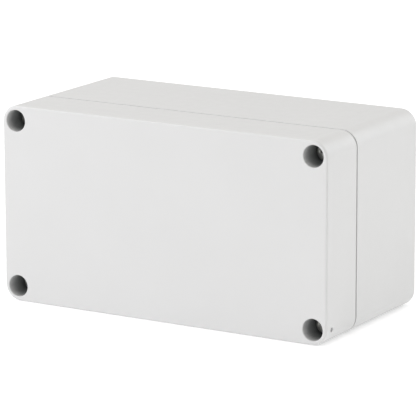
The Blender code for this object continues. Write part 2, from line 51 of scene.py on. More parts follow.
WALL_TO_ROW = Matrix.Rotation(math.pi / 2, 4, "X") @ Matrix.Scale(MM, 4)
SHARP_ANGLE = math.radians(38)

# Radii closer than this, in millimetres, are the same surface
SAME = 1e-6

# Enclosure, in millimetres
SEAM = 0.7
REBATE_WIDTH = 1.2
BASE_FLOOR = 3.5
WALL = 3.5
LID_FACE = 3.0
CORNER_RADIUS = 5.5
CORNER_STEPS = 16
FRONT_FILLET = 0.7
BACK_FILLET = 1.2
FILLET_STEPS = 8
SEAM_ROUND = 0.1
INNER_FILLET = 0.9
INNER_STEPS = 4
FIT_GAP = 0.1

# How far a cutter reaches past the surface that it opens
PAST = 5.0

# Small edges left by moulding, for soften()
MOULDED_EDGE = 0.12
MOULDED_ANGLE = 50

# Lid screws in their wells, and their washers and inserts
WELL_RADIUS = 3.55
WELL_LIP = 0.3
SHANK_RADIUS = 2.0
SHANK_CLEARANCE = 0.3
SHANK_PLAIN = 6.0
SHANK_TIP = 0.6
SCREW_PITCH = 0.7
SCREW_THREAD_DEPTH = 0.38
HEAD_ROUND = 0.5
CROSS_REACH = 2.1
CROSS_WIDTH = 0.95
CROSS_DEPTH = 1.5
CROSS_TAPER = 0.55
WASHER_ROUND = 0.2
INSERT_RADIUS = 2.8
INSERT_BORE = 2.15
INSERT_THREAD_DEPTH = 0.3
INSERT_SEAT_ROOM = 0.8
INSERT_WAIST = 0.35
KNURL_DEPTH = 0.14
KNURLS = 24

# Channels and holes for the wall screws
WALL_SCREW = (46.0, 27.0)
CHANNEL_RADIUS = 3.6
WALL_HOLE_RADIUS = 2.25
CHANNEL_FLOOR = 5.0

# Inside outline, and the seal's bands as distances outwards from it
NOTCH = (38.0, 20.5)
INSIDE_RADIUS = 2.5
NOTCH_RADIUS = 2.0
LEAST_RADIUS = 0.05
INSIDE_STEPS = 8
NOTCH_DRAFT = 0.2
GROOVE = (0.8, 2.4)
GROOVE_DEPTH = 2.8
GASKET_ROUND = 0.5
TONGUE = (1.15, 2.05)
TONGUE_ROUND = 0.25

# Hole for the wire of a lead seal
SEAL_HOLE_RADIUS = 0.8
SEAL_HOLE_FROM_FRONT = 3.4

# Bosses inside the base
BOSS_RADIUS = 4.2
BOSS_TOP = 7.0
BOSS_ROUND = 0.3
PILOT_RADIUS = 1.75
PILOT_FLOOR = 1.8
STANDOFF = (30.0, 20.0)
STANDOFF_RADIUS = 3.0
STANDOFF_TOP = 9.0
STANDOFF_ROUND = 0.25
STANDOFF_HOLE = 1.25

# Rail and its screws
RAIL_CHANNEL = 10.5
RAIL_THICKNESS = 1.0
RAIL_SLOTS = (-42.0, -28.0, 28.0, 42.0)
SLOT_LENGTH = 9.0
SLOT_WIDTH = 4.4
OUTER_BEND = 1.3
INNER_BEND = 0.3
RAIL_EDGE = 0.2
RAIL_SCREW_RADIUS = 1.6
RAIL_SCREW_PITCH = 1.1
RAIL_SCREW_THREAD_DEPTH = 0.35
RAIL_SCREW_HEAD = 2.0
RAIL_SCREW_POINT = 1.4
RAIL_CROSS_REACH = 1.7
RAIL_CROSS_WIDTH = 0.8

# Terminals, and what clips on the rail beside them
TOUCH_GAP = 0.3
TERMINAL_WALL = 0.9
SHOULDER_DROP = 1.2
MARKER_DEPTH = 0.7
MARKER_HALF = 2.2
CLAMP_Y = 8.5
ACCESS_RADIUS = 1.75
ACCESS_LIP = 0.25
ACCESS_END = 0.85
FUNNEL_RADII = (1.4, 2.4)
FUNNEL_DEPTH = 3.1
FUNNEL_LENGTH = 3.4
WIRE_BELOW_BAR = 1.5
BAR_THICKNESS = 1.0
BAR_HOLE = 0.7
EARTH_LEG_HALF = 2.0
EARTH_FOOT_HALF = 7.0
EARTH_FOOT_THICKNESS = 1.2

# Clamp screws and yokes
CLAMP_SCREW_RADIUS = 1.3
CLAMP_PITCH = 0.5
CLAMP_THREAD_DEPTH = 0.26
CLAMP_HEAD = 1.8
CLAMP_HEAD_ROUND = 0.25
CLAMP_SLOT_HALF = 0.3
CLAMP_SLOT_DEPTH = 0.9
YOKE_SIDE = 0.8
YOKE_FLOOR = 1.0
YOKE_ROOF = 1.4
YOKE_GROOVES = (-1.2, 0.0, 1.2)
YOKE_GROOVE_HALF = 0.15

CORNERS = {
    "top_left": (-1, 1),
    "top_right": (1, 1),
    "bottom_left": (-1, -1),
    "bottom_right": (1, -1),
}
SIDES = {"upper": 1, "lower": -1}
TERMINALS = ("line_1", "line_2", "line_3", "neutral", "earth")

# Camera, in degrees and metres, with its lens in millimetres
AZIMUTH = 30.9
ELEVATION = 12.95
ROLL = -0.14
DISTANCE = 1.032
LOOK_DOWN = 0.0016
LOOK_RIGHT = 0.00017
NEAREST = 0.01
LENS = 272.7

# Light: the world's strength, and each softbox's name, azimuth, elevation, distance, size, power and colour
AMBIENT = 0.54
SOFTBOXES = (
    ("overhead", 0, 88, 1.2, (2.2, 2.2), 7.1, (1.0, 0.93, 0.8)),
    ("front_left", -55, 32, 0.9, (0.9, 0.9), 5.15, (0.945, 0.96, 1.0)),
    ("behind_right", 150, 22.5, 1.5, (1.1, 1.0), 6.1, (0.96, 0.98, 1.0)),
    ("right", 95, 50, 1.0, (0.9, 0.9), 1.3, (0.94, 0.965, 1.0)),
)

# The ground that the box stands on, in metres
GROUND_HALF = 4.0
GROUND_GAP = 0.00005
GROUND_GREY = 0.85
GROUND_ROUGHNESS = 0.9
GROUND_GLOW = 0.3

# Moulded plastic: its grain in millimetres, and the painted shade that darkens its deep recesses (reach, openness
# band, shade and tint)
GRAIN_SIZE = 0.35
GRAIN_DEPTH = 0.012
PAINTED_SHADE_REACH = 14.0
PAINTED_SHADE_OPENNESS = (0.03, 0.42)
PAINTED_RECESS_SHADE = 0.29
PAINTED_SHADE_TINT = (0.94, 1.0, 1.0)

# Where the earth terminal's stripe ends, from its middle, in millimetres
EARTH_STRIPE_EDGE = (3.55, 3.6)

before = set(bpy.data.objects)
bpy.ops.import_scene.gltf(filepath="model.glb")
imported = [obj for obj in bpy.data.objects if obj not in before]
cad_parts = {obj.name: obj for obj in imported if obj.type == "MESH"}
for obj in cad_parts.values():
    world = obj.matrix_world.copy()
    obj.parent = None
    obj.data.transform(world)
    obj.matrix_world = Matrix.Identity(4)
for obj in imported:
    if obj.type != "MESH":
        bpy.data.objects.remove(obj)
CAD_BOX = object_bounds()


# Camera, light and floor


def direction(azimuth, elevation):
    """Unit vector towards an azimuth, 0 in front of the box and 90 at its right, and an elevation."""
    a, e = math.radians(azimuth), math.radians(elevation)
    return Vector((math.sin(a) * math.cos(e), -math.cos(a) * math.cos(e), math.sin(e)))


def add_object(name, data):
    item = bpy.data.objects.new(name, data)
    bpy.context.scene.collection.objects.link(item)
    return item


def aim(item, back, roll=0.0):
    """Points a camera or light along -back, with its top up, and then rolled by that many degrees."""
    item.rotation_mode = "QUATERNION"
    item.rotation_quaternion = (-back).to_track_quat("-Z", "Y") @ Quaternion((0, 0, 1), math.radians(roll))


def make_camera(centre):
    data = bpy.data.cameras.new("camera")
    data.lens = LENS
    data.clip_start = NEAREST
    camera = add_object("camera", data)
    back = direction(AZIMUTH, ELEVATION)
    aim(camera, back, ROLL)
    up = camera.rotation_quaternion @ Vector((0, 1, 0))
    right = camera.rotation_quaternion @ Vector((1, 0, 0))
    camera.location = centre + back * DISTANCE - up * LOOK_DOWN + right * LOOK_RIGHT
    bpy.context.scene.camera = camera


def make_softbox(centre, name, azimuth, elevation, distance, size, power, colour):
    """A rectangular area light that faces the centre and that the camera doesn't see."""
    data = bpy.data.lights.new(name, "AREA")
    data.color = colour
    data.shape = "RECTANGLE"
    data.size, data.size_y = size
    data.energy = power
    light = add_object(name, data)
    back = direction(azimuth, elevation)
    aim(light, back)
    light.location = centre + back * distance
    light.visible_camera = False


def make_light(centre):
    """Soft studio light: a dim world that the camera sees as white, and the softboxes."""
    world = bpy.data.worlds.new("studio")
    bpy.context.scene.world = world
    world.use_nodes = True
    tree = world.node_tree
    ambient = tree.nodes["Background"]
    ambient.inputs["Color"].default_value = (1.0, 1.0, 1.0, 1.0)
    ambient.inputs["Strength"].default_value = AMBIENT
    backdrop = tree.nodes.new("ShaderNodeBackground")
    seen = tree.nodes.new("ShaderNodeLightPath")
    either = tree.nodes.new("ShaderNodeMixShader")
    tree.links.new(seen.outputs["Is Camera Ray"], either.inputs["Fac"])
    tree.links.new(ambient.outputs["Background"], either.inputs[1])
    tree.links.new(backdrop.outputs["Background"], either.inputs[2])
    backdrop.inputs["Color"].default_value = (1.0, 1.0, 1.0, 1.0)
    tree.links.new(either.outputs["Shader"], tree.nodes["World Output"].inputs["Surface"])
    for softbox in SOFTBOXES:
        make_softbox(centre, *softbox)


def make_floor(level):
    """A pale, faintly glowing plane just under the box."""
    mesh = bpy.data.meshes.new("floor")
    shape = bmesh.new()
    bmesh.ops.create_grid(shape, size=GROUND_HALF)
    shape.to_mesh(mesh)
    shape.free()
    floor = add_object("floor", mesh)
    floor.location.z = level - GROUND_GAP
    finish = bpy.data.materials.new("floor")
    finish.use_nodes = True
    shader = finish.node_tree.nodes["Principled BSDF"]
    shader.inputs["Base Color"].default_value = (GROUND_GREY, GROUND_GREY, GROUND_GREY, 1.0)
    shader.inputs["Roughness"].default_value = GROUND_ROUGHNESS
    shader.inputs["Emission Color"].default_value = (1.0, 1.0, 1.0, 1.0)
    shader.inputs["Emission Strength"].default_value = GROUND_GLOW
    mesh.materials.append(finish)


# Modelling tools


def node_box(node):
    """A CAD node's lowest and highest corner in the wall frame, in millimetres."""
    low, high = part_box(node)
    return Vector((low.x, low.z, -high.y)) / MM, Vector((high.x, high.z, -low.y)) / MM


def node_centre(node):
    """The centre of a CAD node's box in the wall frame, in millimetres."""
    low, high = node_box(node)
    return (low + high) / 2


def solid(name, shape):
    """A work object that holds a bmesh in wall-frame millimetres."""
    bmesh.ops.recalc_face_normals(shape, faces=shape.faces)
    mesh = bpy.data.meshes.new(name)
    shape.to_mesh(mesh)
    shape.free()
    return add_object(name, mesh)


def apply_modifiers(item):
    bpy.context.view_layer.update()
    graph = bpy.context.evaluated_depsgraph_get()
    mesh = bpy.data.meshes.new_from_object(item.evaluated_get(graph))
    item.modifiers.clear()
    item.data = mesh


def combine(target, others, operation):
    """Adds or cuts the others, which are used up."""
    for other in others:
        step = target.modifiers.new("combine", "BOOLEAN")
        step.operation = operation
        step.solver = "EXACT"
        step.object = other
        apply_modifiers(target)
        bpy.data.objects.remove(other, do_unlink=True)
    return target


def cut(target, *cutters):
    return combine(target, cutters, "DIFFERENCE")


def join(target, *others):
    return combine(target, others, "UNION")


def round_level(item, level, radius, steps=3):
    """Rounds the sharp edges that lie at one height above the wall."""
    shape = bmesh.new()
    shape.from_mesh(item.data)
    flat = [e for e in shape.edges if all(abs(v.co.z - level) < 1e-4 for v in e.verts)]
    edges = [e for e in flat if e.calc_face_angle(0) > 0.4]
    bmesh.ops.bevel(shape, geom=edges, offset=radius, segments=steps, profile=0.5, affect="EDGES")
    shape.to_mesh(item.data)
    shape.free()
    return item


def box(low, high):
    shape = bmesh.new()
    bmesh.ops.create_cube(shape, size=1.0)
    size = Vector(high) - Vector(low)
    bmesh.ops.scale(shape, vec=size, verts=shape.verts)
    bmesh.ops.translate(shape, vec=(Vector(low) + Vector(high)) / 2, verts=shape.verts)
    return solid("box", shape)


def prism(outline, low, high, along_x=False):
    """An outline in (x, y) extruded along z, or one in (y, z) extruded along x."""
    shape = bmesh.new()
    points = [(low, a, b) if along_x else (a, b, low) for a, b in outline]
    face = shape.faces.new([shape.verts.new(p) for p in points])
    grown = bmesh.ops.extrude_face_region(shape, geom=[face])
    moved = [v for v in grown["geom"] if isinstance(v, bmesh.types.BMVert)]
    step = (high - low, 0, 0) if along_x else (0, 0, high - low)
    bmesh.ops.translate(shape, vec=step, verts=moved)
    return solid("prism", shape)


def arc(centre, radius, start, end, steps):
    """Points along an arc, with angles in degrees."""
    points = []
    for i in range(steps + 1):
        angle = math.radians(start + (end - start) * i / steps)
        points.append((centre[0] + radius * math.cos(angle), centre[1] + radius * math.sin(angle)))
    return points


def rounded(corners, steps=5):
    """An outline with each corner (a, b, radius) replaced by an arc of that radius."""
    points = []
    for i, (a, b, radius) in enumerate(corners):
        here = Vector((a, b))
        if not radius:
            points.append((a, b))
            continue
        before = (Vector(corners[i - 1][:2]) - here).normalized()
        after = (Vector(corners[(i + 1) % len(corners)][:2]) - here).normalized()
        half = before.angle(after) / 2
        centre = here + (before + after).normalized() * (radius / math.sin(half))
        start = here + before * (radius / math.tan(half)) - centre
        sweep = Vector(start).angle_signed(here + after * (radius / math.tan(half)) - centre)
        for k in range(steps + 1):
            turn = Matrix.Rotation(-sweep * k / steps, 2)
            points.append(tuple(centre + turn @ start))
    return points


def cylinder(radius, low, high, at=(0, 0), sides=48, top_radius=None):
    """A cylinder about z, or a cone where the top has its own radius."""
    top = radius if top_radius is None else top_radius
    return turned([(0, high), (top, high), (radius, low), (0, low)], at, sides)


def turned(profile, at=(0, 0), sides=48, change=None):
    """A closed turned shape about z. A profile that starts off the axis closes on itself as a ring.

    change(angle, radius, height) gives what is added to the radius, for threads and knurls.
    """
    shape = bmesh.new()
    rings = []
    for radius, height in profile:
        if radius == 0:
            rings.append([shape.verts.new((at[0], at[1], height))])
            continue
        ring = []
        for i in range(sides):
            angle = 2 * math.pi * i / sides
            r = radius + (change(angle, radius, height) if change else 0)
            x = at[0] + r * math.cos(angle)
            y = at[1] + r * math.sin(angle)
            ring.append(shape.verts.new((x, y, height)))
        rings.append(ring)
    if len(rings[0]) > 1:
        rings.append(rings[0])
    for one, two in zip(rings, rings[1:]):
        for i in range(sides):
            j = (i + 1) % sides
            corners = [one[i % len(one)], one[j % len(one)], two[j % len(two)], two[i % len(two)]]
            shape.faces.new(dict.fromkeys(corners))
    return solid("turned", shape)


def thread_rows(radius, top, bottom, pitch):
    """Profile points down a threaded length, eight to each pitch."""
    count = max(2, round((top - bottom) / pitch * 8))
    return [(radius, top + (bottom - top) * i / count) for i in range(count + 1)]


def thread_form(angle, height, pitch):
    """A right-handed thread's section: 0 on the crest and 1 in the groove."""
    turn = (height / pitch - angle / (2 * math.pi)) % 1.0
    return min(1.0, 2.4 * abs(turn - 0.5))


def thread(radius, top, bottom, pitch, depth):
    """A thread for turned(): cut into the surface of that radius between two heights, and fading at both."""

    def change(angle, here, height):
        if abs(here - radius) > SAME or not bottom <= height <= top:
            return 0.0
        fade = min(1.0, (top - height) / pitch, (height - bottom) / pitch)
        return -depth * fade * thread_form(angle, height, pitch)

    return change


def soften(item, radius, steps=2, angle=40):
    """Rounds every edge sharper than an angle in degrees."""
    step = item.modifiers.new("soften", "BEVEL")
    step.width = radius
    step.segments = steps
    step.limit_method = "ANGLE"
    step.angle_limit = math.radians(angle)
    step.miter_outer = "MITER_ARC"
    apply_modifiers(item)


def finish_piece(item, name, body, node, slot, origin=(0, 0, 0)):
    """Names a piece, puts it in the row frame with its own origin, and gives it a body, a slot and a material."""
    item.name = name
    item.data.name = name
    origin = Vector(origin)
    item.data.transform(Matrix.Translation(-origin))
    item.data.transform(WALL_TO_ROW)
    item.location = WALL_TO_ROW @ origin
    item.data.materials.clear()
    item.data.materials.append(MATERIALS[slot])
    item.data.shade_smooth()
    item.data.set_sharp_from_angle(angle=SHARP_ANGLE)
    normals = item.modifiers.new("normals", "WEIGHTED_NORMAL")
    normals.keep_sharp = True
    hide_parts(node)
    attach(item, body)


def at_corner(place, corner):
    """A place in the upper right quarter, mirrored into another corner's quarter."""
    side, level = CORNERS[corner]
    return (side * place[0], level * place[1])


# Materials


def new_material(name, roughness, metallic=0.0):
    made = bpy.data.materials.new(name)
    made.use_nodes = True
    shader = made.node_tree.nodes["Principled BSDF"]
    shader.inputs["Roughness"].default_value = roughness
    shader.inputs["Metallic"].default_value = metallic
    return made, made.node_tree, shader


def coordinates(tree, stretch=(1, 1, 1)):
    """Object coordinates in millimetres, stretched along each axis."""
    source = tree.nodes.new("ShaderNodeTexCoord")
    mapping = tree.nodes.new("ShaderNodeMapping")
    mapping.inputs["Scale"].default_value = [s / MM for s in stretch]
    tree.links.new(source.outputs["Object"], mapping.inputs["Vector"])
    return mapping.outputs["Vector"]


def noise(tree, where, size, detail=2.0):
    """Noise with features about that many millimetres across."""
    node = tree.nodes.new("ShaderNodeTexNoise")
    node.inputs["Scale"].default_value = 1 / size
    node.inputs["Detail"].default_value = detail
    tree.links.new(where, node.inputs["Vector"])
    return node.outputs["Fac"]


def spread(tree, value, low, high, start=0.3, end=0.7):
    """Maps a value from start..end to low..high, clamped."""
    node = tree.nodes.new("ShaderNodeMapRange")
    node.inputs["From Min"].default_value = start
    node.inputs["From Max"].default_value = end
    node.inputs["To Min"].default_value = low
    node.inputs["To Max"].default_value = high
    tree.links.new(value, node.inputs["Value"])
    return node.outputs["Result"]


def mixed(tree, factor, one, two):
    """A colour between two, where each is a colour or another node's output."""
    node = tree.nodes.new("ShaderNodeMix")
    node.data_type = "RGBA"
    tree.links.new(factor, node.inputs["Factor"])
    for socket, colour in ((node.inputs["A"], one), (node.inputs["B"], two)):
        if isinstance(colour, bpy.types.NodeSocket):
            tree.links.new(colour, socket)
        else:
            socket.default_value = (*colour, 1.0)
    return node.outputs["Result"]


def bump(tree, shader, height, depth, under=None):
    """Bumps of that depth in millimetres, on top of any others."""
    node = tree.nodes.new("ShaderNodeBump")
    node.inputs["Strength"].default_value = 1.0
    node.inputs["Distance"].default_value = depth * MM
    tree.links.new(height, node.inputs["Height"])
    if under:
        tree.links.new(under, node.inputs["Normal"])
    tree.links.new(node.outputs["Normal"], shader.inputs["Normal"])
    return node.outputs["Normal"]


def painted_shade_mask(tree):
    """Ambient occlusion as the mask for painted shade: 1 in the open and in plain corners, and 0 deep inside a
    narrow well or channel.
    """
    node = tree.nodes.new("ShaderNodeAmbientOcclusion")
    node.samples = 8
    node.only_local = True
    node.inputs["Distance"].default_value = PAINTED_SHADE_REACH * MM
    return spread(tree, node.outputs["AO"], 0.0, 1.0, *PAINTED_SHADE_OPENNESS)


def plastic(name, colour, roughness, variation=0.03):
    """Moulded plastic: a fine eroded grain, faint flow marks, uneven gloss, and painted shade that darkens its
    deep recesses.
    """
    made, tree, shader = new_material(name, roughness)
    where = coordinates(tree)
    light = [min(1.0, c * (1 + variation)) for c in colour]
    dark = [c * (1 - variation) for c in colour]
    clouds = mixed(tree, spread(tree, noise(tree, where, 22.0), 0, 1), dark, light)
    specks = spread(tree, noise(tree, where, 0.5, 3.0), 0.0, 0.35)
    surface = mixed(tree, specks, clouds, dark)
    # Painted shade: a dark, tinted copy of the colour that the surface turns to inside narrow wells and channels,
    # by ambient occlusion
    painted_shade_colour = [c * PAINTED_RECESS_SHADE * tint for c, tint in zip(colour, PAINTED_SHADE_TINT)]
    tree.links.new(mixed(tree, painted_shade_mask(tree), painted_shade_colour, surface), shader.inputs["Base Color"])
    gloss = spread(tree, noise(tree, where, 3.0, 4.0), roughness - 0.05, roughness + 0.05)
    tree.links.new(gloss, shader.inputs["Roughness"])
    along_flow = coordinates(tree, (0.3, 1, 1))
    flow = bump(tree, shader, noise(tree, along_flow, 9.0), GRAIN_DEPTH * 3)
    bump(tree, shader, noise(tree, where, GRAIN_SIZE, 3.0), GRAIN_DEPTH, under=flow)
    return made


def rubber(name, colour):
    """Soft black seal: matt, with fine pores and a paler bloom."""
    made, tree, shader = new_material(name, 0.7)
    where = coordinates(tree)
    bloom = spread(tree, noise(tree, where, 2.0, 4.0), 0, 1)
    pale = [c * 2.2 for c in colour]
    tree.links.new(mixed(tree, bloom, colour, pale), shader.inputs["Base Color"])
    pores = tree.nodes.new("ShaderNodeTexVoronoi")
    pores.inputs["Scale"].default_value = 1 / 0.25
    tree.links.new(where, pores.inputs["Vector"])
    bump(tree, shader, pores.outputs["Distance"], 0.04)
    return made


def metal(name, colour, roughness, tint, stretch=(1, 1, 1)):
    """Plated metal: fine tool marks, and patches where the plating is duller or tinted."""
    made, tree, shader = new_material(name, roughness, 1.0)
    where = coordinates(tree)
    patches = spread(tree, noise(tree, where, 1.6, 4.0), 0, 1)
    tree.links.new(mixed(tree, patches, colour, tint), shader.inputs["Base Color"])
    marks = noise(tree, coordinates(tree, stretch), 0.12, 3.0)
    tree.links.new(spread(tree, marks, roughness - 0.07, roughness + 0.12), shader.inputs["Roughness"])
    dents = bump(tree, shader, noise(tree, where, 0.8, 2.0), 0.01)
    bump(tree, shader, marks, 0.006, under=dents)
    return made


def turned_metal(name, colour, roughness, tint):
    """Plated metal with the rings a lathe leaves about the piece's own axis."""
    made = metal(name, colour, roughness, tint)
    tree = made.node_tree
    shader = tree.nodes["Principled BSDF"]
    rings = tree.nodes.new("ShaderNodeTexWave")
    rings.wave_type = "RINGS"
    rings.rings_direction = "Y"
    rings.inputs["Scale"].default_value = 1.6
    rings.inputs["Distortion"].default_value = 0.6
    tree.links.new(coordinates(tree), rings.inputs["Vector"])
    under = shader.inputs["Normal"].links[0].from_socket
    bump(tree, shader, rings.outputs["Fac"], 0.004, under=under)
    return made


def two_coloured(name, colour, stripe, roughness):
    """The earth terminal's plastic: a stripe of the second colour along its middle."""
    made = plastic(name, colour, roughness)
    tree = made.node_tree
    shader = tree.nodes["Principled BSDF"]
    axes = tree.nodes.new("ShaderNodeSeparateXYZ")
    tree.links.new(coordinates(tree), axes.inputs["Vector"])
    off_middle = tree.nodes.new("ShaderNodeMath")
    off_middle.operation = "ABSOLUTE"
    tree.links.new(axes.outputs["Z"], off_middle.inputs[0])
    inside = spread(tree, off_middle.outputs["Value"], 1, 0, *EARTH_STRIPE_EDGE)
    under = shader.inputs["Base Color"].links[0].from_socket
    tree.links.new(mixed(tree, inside, under, stripe), shader.inputs["Base Color"])
    return made


MATERIALS = {
    "housing_grey": plastic("housing_grey", (0.645, 0.645, 0.645), 0.42, variation=0.008),
    "seal_black": rubber("seal_black", (0.014, 0.014, 0.015)),
    "screw_steel": turned_metal("screw_steel", (0.62, 0.62, 0.60), 0.32, (0.50, 0.50, 0.47)),
    "brass": turned_metal("brass", (0.78, 0.57, 0.25), 0.30, (0.62, 0.43, 0.18)),
    "rail_zinc": metal("rail_zinc", (0.68, 0.68, 0.65), 0.36, (0.60, 0.58, 0.48), (0.05, 1, 1)),
    "terminal_grey": plastic("terminal_grey", (0.34, 0.36, 0.37), 0.5),
    "terminal_blue": plastic("terminal_blue", (0.045, 0.19, 0.50), 0.5),
    "terminal_green": two_coloured("terminal_green", (0.06, 0.33, 0.10), (0.78, 0.62, 0.05), 0.5),
    "tinned_copper": metal("tinned_copper", (0.74, 0.71, 0.66), 0.28, (0.66, 0.58, 0.50), (1, 1, 0.05)),
    "yoke_steel": metal("yoke_steel", (0.66, 0.64, 0.56), 0.34, (0.58, 0.52, 0.36)),
}


# Enclosure


def rounded_rectangle(half_x, half_y, radius):
    corner = arc((half_x - radius, half_y - radius), radius, 0, 90, CORNER_STEPS)
    half = corner + [(-x, y) for x, y in reversed(corner)]
    return half + [(-x, -y) for x, y in half]


def inside_outline(grow=0.0):
    """The inside outline, moved outwards by grow: a rounded rectangle with a notch in each corner."""
    _, high = node_box("lid_cover")
    outer_x = high.x - WALL + grow
    outer_y = high.y - WALL + grow
    notch_x = NOTCH[0] + grow
    notch_y = NOTCH[1] + grow
    tip = INSIDE_RADIUS + grow
    root = max(NOTCH_RADIUS - grow, LEAST_RADIUS)
    quarter = [
        *arc((outer_x - tip, notch_y - NOTCH_DRAFT - tip), tip, 0, 90, INSIDE_STEPS),
        *arc((notch_x + root, notch_y + root), root, 270, 180, INSIDE_STEPS),
        *arc((notch_x - NOTCH_DRAFT - tip, outer_y - tip), tip, 0, 90, INSIDE_STEPS),
    ]
    half = quarter + [(-x, y) for x, y in reversed(quarter)]
    return half + [(-x, -y) for x, y in half]


def ring(band, low, high):
    """A ring that follows the inside outline, between two distances outwards from it."""
    inner, outer = band
    return cut(prism(inside_outline(outer), low, high), prism(inside_outline(inner), low - 1, high + 1))


def shell_block(low, high, front, back):
    """The outside of the base or the lid: rounded corners, and its front and back outlines rounded."""
    block = prism(rounded_rectangle(high.x, high.y, CORNER_RADIUS), low.z, high.z)
    round_level(block, high.z, front, FILLET_STEPS)
    return round_level(block, low.z, back, FILLET_STEPS)


def make_base():
    low, high = node_box("base_shell")
    lid_low, _ = node_box("lid_cover")
    rebate_floor = lid_low.z - SEAM
    rim = lid_low.z - FIT_GAP
    past = rim + PAST
    base = shell_block(low, Vector((high.x, high.y, rebate_floor)), SEAM_ROUND, BACK_FILLET)
    inset = rounded_rectangle(high.x - REBATE_WIDTH, high.y - REBATE_WIDTH, CORNER_RADIUS - REBATE_WIDTH)
    join(base, round_level(prism(inset, rebate_floor - 1, rim), rim, SEAM_ROUND))
    room = prism(inside_outline(), BASE_FLOOR, past)
    cut(base, round_level(room, BASE_FLOOR, INNER_FILLET, INNER_STEPS))
    join(base, round_level(ring(TONGUE, rim - 1, high.z), high.z, TONGUE_ROUND))
    for side in (-1, 1):
        at = (side * RAIL_SLOTS[-1], 0)
        boss = cylinder(BOSS_RADIUS, BASE_FLOOR - 1, BOSS_TOP, at)
        join(base, round_level(boss, BOSS_TOP, BOSS_ROUND))
        cut(base, cylinder(PILOT_RADIUS, PILOT_FLOOR, BOSS_TOP + 2, at))
    for corner in CORNERS:
        at = at_corner(STANDOFF, corner)
        post = cylinder(STANDOFF_RADIUS, BASE_FLOOR - 1, STANDOFF_TOP, at)
        join(base, round_level(post, STANDOFF_TOP, STANDOFF_ROUND))
        cut(base, cylinder(STANDOFF_HOLE, BASE_FLOOR, STANDOFF_TOP + 2, at, 24))
        at = at_corner(WALL_SCREW, corner)
        cut(base, cylinder(CHANNEL_RADIUS, CHANNEL_FLOOR, past, at))
        cut(base, cylinder(WALL_HOLE_RADIUS, -2, CHANNEL_FLOOR + 1, at))
        insert_low, _ = node_box("thread_insert_" + corner)
        at = node_centre("thread_insert_" + corner)
        cut(base, cylinder(INSERT_RADIUS + FIT_GAP, insert_low.z - INSERT_SEAT_ROOM, past, at))
    soften(base, MOULDED_EDGE, 2, MOULDED_ANGLE)
    finish_piece(base, "base_moulding", "base", "base_shell", "housing_grey")


def make_lid():
    low, high = node_box("lid_cover")
    lid = shell_block(low, high, FRONT_FILLET, SEAM_ROUND)
    under_face = high.z - LID_FACE
    room = prism(inside_outline(), low.z - PAST, under_face)
    cut(lid, round_level(room, under_face, INNER_FILLET, INNER_STEPS))
    cut(lid, ring(GROOVE, low.z - PAST, low.z + GROOVE_DEPTH))
    mouth = WELL_RADIUS + WELL_LIP
    lip = arc((mouth, high.z - WELL_LIP), WELL_LIP, 90, 180, 6)
    for corner in CORNERS:
        washer_low, _ = node_box("lid_washer_" + corner)
        column = node_centre("lid_screw_" + corner)
        seat = washer_low.z - FIT_GAP
        well = [(0, high.z + PAST), (mouth, high.z + PAST), *lip, (WELL_RADIUS, seat), (0, seat)]
        cut(lid, turned(well, column, 64))
        cut(lid, cylinder(SHANK_RADIUS + SHANK_CLEARANCE, low.z - PAST, seat + 1, column))
        cut(lid, cylinder(CHANNEL_RADIUS, low.z - PAST, under_face, at_corner(WALL_SCREW, corner)))
    column = node_centre("lid_screw_bottom_right")
    hole = cylinder(SEAL_HOLE_RADIUS, 0, high.x - column.x + 2, sides=24)
    hole.data.transform(Matrix.Rotation(math.pi / 2, 4, "Y"))
    hole.data.transform(Matrix.Translation((column.x, column.y, high.z - SEAL_HOLE_FROM_FRONT)))
    cut(lid, hole)
    finish_piece(lid, "lid_moulding", "lid", "lid_cover", "housing_grey")


def make_gasket():
    low, high = node_box("lid_gasket")
    gasket = ring((GROOVE[0] + FIT_GAP, GROOVE[1] - FIT_GAP), low.z, high.z)
    round_level(gasket, low.z, GASKET_ROUND, 4)
    finish_piece(gasket, "gasket_strip", "lid", "lid_gasket", "seal_black")


# Screws and inserts


def cross_recess(reach, width, low, high, at):
    """A cross-shaped driver recess that narrows towards its bottom."""
    half = width / 2
    end = width * 0.4
    points = []
    for quarter in range(4):
        turn = Matrix.Rotation(math.pi / 2 * quarter, 2)
        for corner in ((reach, -end), (reach, end), (half, half)):
            points.append(tuple(turn @ Vector(corner)))
    recess = prism(points, low, high)
    for vertex in recess.data.vertices:
        if vertex.co.z < (low + high) / 2:
            vertex.co.x *= CROSS_TAPER
            vertex.co.y *= CROSS_TAPER
    recess.data.transform(Matrix.Translation((at[0], at[1], 0)))
    return recess


def make_lid_screw(corner):
    name = "lid_screw_" + corner
    low, high = node_box(name)
    at = node_centre(name)
    radius = high.x - at.x
    under = node_box("lid_washer_" + corner)[1].z + FIT_GAP
    start = under - SHANK_PLAIN
    end = low.z + SHANK_TIP
    profile = [
        (0, high.z),
        *arc((radius - HEAD_ROUND, high.z - HEAD_ROUND), HEAD_ROUND, 90, 0, 6),
        (radius, under),
        (SHANK_RADIUS + 0.2, under),
        (SHANK_RADIUS, under - 0.2),
        *thread_rows(SHANK_RADIUS, start, end, SCREW_PITCH),
        (SHANK_RADIUS - SHANK_TIP, low.z),
        (0, low.z),
    ]
    screw = turned(profile, at, 40, thread(SHANK_RADIUS, start, end, SCREW_PITCH, SCREW_THREAD_DEPTH))
    cut(screw, cross_recess(CROSS_REACH, CROSS_WIDTH, high.z - CROSS_DEPTH, high.z + 1, at))
    round_level(screw, high.z, 0.08, 2)
    finish_piece(screw, "fine_" + name, name, name, "screw_steel", (at.x, at.y, high.z))


def make_lid_washer(corner):
    name = "lid_washer_" + corner
    low, high = node_box(name)
    at = node_centre(name)
    inner = SHANK_RADIUS + FIT_GAP
    flat = high.x - at.x - WASHER_ROUND
    section = [
        *arc((flat, high.z - WASHER_ROUND), WASHER_ROUND, 90, 0, 4),
        *arc((flat, low.z + WASHER_ROUND), WASHER_ROUND, 0, -90, 4),
        (inner, low.z),
        (inner, high.z),
    ]
    finish_piece(turned(section, at), "fine_" + name, name, name, "seal_black")


